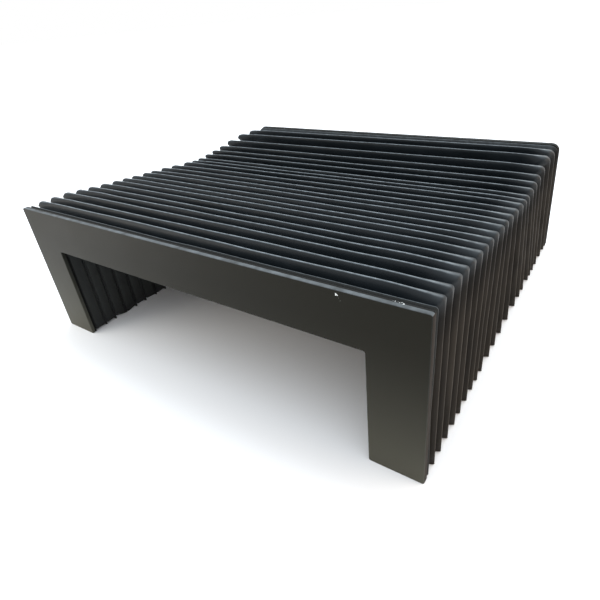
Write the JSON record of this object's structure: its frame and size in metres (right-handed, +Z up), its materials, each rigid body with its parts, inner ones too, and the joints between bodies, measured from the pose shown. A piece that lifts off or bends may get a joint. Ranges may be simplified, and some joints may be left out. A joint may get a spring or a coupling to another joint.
{
  "type": "bellows way cover",
  "caption": "U-shaped folded bellows cover with two flat end plates, which slides open and closed over a machine's guide rail.",
  "frame": {"origin": "on the floor, midway between the legs, in the plane of the front end plate's front face, where the guide rail's centre line runs", "axes": "+X to the right as seen from in front, +Y backwards along the guide rail, +Z up"},
  "size_m": [0.2, 0.1938, 0.067],
  "materials": {
    "end_plate": "dark warm grey satin paint on flat steel",
    "skin_cloth": "black coated cloth, pressed into folds, satin",
    "stiffener_sheet": "black rigid plastic sheet, die-cut, matte"
  },
  "bodies": {
    "root": {"rear_plate": "end_plate", "bellows_skin": "skin_cloth"},
    "front_end": {"front_plate": "end_plate"},
    "fold_01": {"top_stiffener_01": "stiffener_sheet", "leg_stiffeners_01": "stiffener_sheet"},
    "fold_02": {"top_stiffener_02": "stiffener_sheet", "leg_stiffeners_02": "stiffener_sheet"},
    "fold_03": {"top_stiffener_03": "stiffener_sheet", "leg_stiffeners_03": "stiffener_sheet"},
    "fold_04": {"top_stiffener_04": "stiffener_sheet", "leg_stiffeners_04": "stiffener_sheet"},
    "fold_05": {"top_stiffener_05": "stiffener_sheet", "leg_stiffeners_05": "stiffener_sheet"},
    "fold_06": {"top_stiffener_06": "stiffener_sheet", "leg_stiffeners_06": "stiffener_sheet"},
    "fold_07": {"top_stiffener_07": "stiffener_sheet", "leg_stiffeners_07": "stiffener_sheet"},
    "fold_08": {"top_stiffener_08": "stiffener_sheet", "leg_stiffeners_08": "stiffener_sheet"},
    "fold_09": {"top_stiffener_09": "stiffener_sheet", "leg_stiffeners_09": "stiffener_sheet"},
    "fold_10": {"top_stiffener_10": "stiffener_sheet", "leg_stiffeners_10": "stiffener_sheet"},
    "fold_11": {"top_stiffener_11": "stiffener_sheet", "leg_stiffeners_11": "stiffener_sheet"},
    "fold_12": {"top_stiffener_12": "stiffener_sheet", "leg_stiffeners_12": "stiffener_sheet"},
    "fold_13": {"top_stiffener_13": "stiffener_sheet", "leg_stiffeners_13": "stiffener_sheet"},
    "fold_14": {"top_stiffener_14": "stiffener_sheet", "leg_stiffeners_14": "stiffener_sheet"},
    "fold_15": {"top_stiffener_15": "stiffener_sheet", "leg_stiffeners_15": "stiffener_sheet"},
    "fold_16": {"top_stiffener_16": "stiffener_sheet", "leg_stiffeners_16": "stiffener_sheet"},
    "fold_17": {"top_stiffener_17": "stiffener_sheet", "leg_stiffeners_17": "stiffener_sheet"},
    "fold_18": {"top_stiffener_18": "stiffener_sheet", "leg_stiffeners_18": "stiffener_sheet"},
    "fold_19": {"top_stiffener_19": "stiffener_sheet", "leg_stiffeners_19": "stiffener_sheet"},
    "fold_20": {"top_stiffener_20": "stiffener_sheet", "leg_stiffeners_20": "stiffener_sheet"},
    "fold_21": {"top_stiffener_21": "stiffener_sheet", "leg_stiffeners_21": "stiffener_sheet"},
    "fold_22": {"top_stiffener_22": "stiffener_sheet", "leg_stiffeners_22": "stiffener_sheet"}
  },
  "joints": [
    {"name": "travel", "type": "slide", "parent": "root", "child": "front_end", "axis": [0, -1, 0], "range_m": [-0.09, 0.14], "deforming": ["bellows_skin"]},
    {"name": "fold_01_slide", "type": "slide", "parent": "root", "child": "fold_01", "axis": [0, -1, 0], "range_m": [-0.08687, 0.13486]},
    {"name": "fold_02_slide", "type": "slide", "parent": "root", "child": "fold_02", "axis": [0, -1, 0], "range_m": [-0.08372, 0.12996]},
    {"name": "fold_03_slide", "type": "slide", "parent": "root", "child": "fold_03", "axis": [0, -1, 0], "range_m": [-0.08003, 0.12422]},
    {"name": "fold_04_slide", "type": "slide", "parent": "root", "child": "fold_04", "axis": [0, -1, 0], "range_m": [-0.07621, 0.11827]},
    {"name": "fold_05_slide", "type": "slide", "parent": "root", "child": "fold_05", "axis": [0, -1, 0], "range_m": [-0.07265, 0.11274]},
    {"name": "fold_06_slide", "type": "slide", "parent": "root", "child": "fold_06", "axis": [0, -1, 0], "range_m": [-0.06841, 0.10614]},
    {"name": "fold_07_slide", "type": "slide", "parent": "root", "child": "fold_07", "axis": [0, -1, 0], "range_m": [-0.06459, 0.10019]},
    {"name": "fold_08_slide", "type": "slide", "parent": "root", "child": "fold_08", "axis": [0, -1, 0], "range_m": [-0.06157, 0.0955]},
    {"name": "fold_09_slide", "type": "slide", "parent": "root", "child": "fold_09", "axis": [0, -1, 0], "range_m": [-0.05802, 0.08997]},
    {"name": "fold_10_slide", "type": "slide", "parent": "root", "child": "fold_10", "axis": [0, -1, 0], "range_m": [-0.05365, 0.08318]},
    {"name": "fold_11_slide", "type": "slide", "parent": "root", "child": "fold_11", "axis": [0, -1, 0], "range_m": [-0.05064, 0.07849]},
    {"name": "fold_12_slide", "type": "slide", "parent": "root", "child": "fold_12", "axis": [0, -1, 0], "range_m": [-0.04656, 0.07215]},
    {"name": "fold_13_slide", "type": "slide", "parent": "root", "child": "fold_13", "axis": [0, -1, 0], "range_m": [-0.04183, 0.06479]},
    {"name": "fold_14_slide", "type": "slide", "parent": "root", "child": "fold_14", "axis": [0, -1, 0], "range_m": [-0.03631, 0.05621]},
    {"name": "fold_15_slide", "type": "slide", "parent": "root", "child": "fold_15", "axis": [0, -1, 0], "range_m": [-0.03284, 0.0508]},
    {"name": "fold_16_slide", "type": "slide", "parent": "root", "child": "fold_16", "axis": [0, -1, 0], "range_m": [-0.03061, 0.04733]},
    {"name": "fold_17_slide", "type": "slide", "parent": "root", "child": "fold_17", "axis": [0, -1, 0], "range_m": [-0.02666, 0.0412]},
    {"name": "fold_18_slide", "type": "slide", "parent": "root", "child": "fold_18", "axis": [0, -1, 0], "range_m": [-0.02424, 0.03743]},
    {"name": "fold_19_slide", "type": "slide", "parent": "root", "child": "fold_19", "axis": [0, -1, 0], "range_m": [-0.02088, 0.0322]},
    {"name": "fold_20_slide", "type": "slide", "parent": "root", "child": "fold_20", "axis": [0, -1, 0], "range_m": [-0.01703, 0.02622]},
    {"name": "fold_21_slide", "type": "slide", "parent": "root", "child": "fold_21", "axis": [0, -1, 0], "range_m": [-0.01072, 0.01639]},
    {"name": "fold_22_slide", "type": "slide", "parent": "root", "child": "fold_22", "axis": [0, -1, 0], "range_m": [-0.0044, 0.00656]}
  ],
  "couplings": [
    {"joint": "fold_01_slide", "follows": "travel", "ratio": 0.9597},
    {"joint": "fold_02_slide", "follows": "travel", "ratio": 0.9247},
    {"joint": "fold_03_slide", "follows": "travel", "ratio": 0.8837},
    {"joint": "fold_04_slide", "follows": "travel", "ratio": 0.8412},
    {"joint": "fold_05_slide", "follows": "travel", "ratio": 0.8017},
    {"joint": "fold_06_slide", "follows": "travel", "ratio": 0.7546},
    {"joint": "fold_07_slide", "follows": "travel", "ratio": 0.7121},
    {"joint": "fold_08_slide", "follows": "travel", "ratio": 0.6786},
    {"joint": "fold_09_slide", "follows": "travel", "ratio": 0.6391},
    {"joint": "fold_10_slide", "follows": "travel", "ratio": 0.5906},
    {"joint": "fold_11_slide", "follows": "travel", "ratio": 0.5571},
    {"joint": "fold_12_slide", "follows": "travel", "ratio": 0.5118},
    {"joint": "fold_13_slide", "follows": "travel", "ratio": 0.4592},
    {"joint": "fold_14_slide", "follows": "travel", "ratio": 0.3979},
    {"joint": "fold_15_slide", "follows": "travel", "ratio": 0.3593},
    {"joint": "fold_16_slide", "follows": "travel", "ratio": 0.3345},
    {"joint": "fold_17_slide", "follows": "travel", "ratio": 0.2907},
    {"joint": "fold_18_slide", "follows": "travel", "ratio": 0.2638},
    {"joint": "fold_19_slide", "follows": "travel", "ratio": 0.2264},
    {"joint": "fold_20_slide", "follows": "travel", "ratio": 0.1837},
    {"joint": "fold_21_slide", "follows": "travel", "ratio": 0.1135},
    {"joint": "fold_22_slide", "follows": "travel", "ratio": 0.0433}
  ]
}
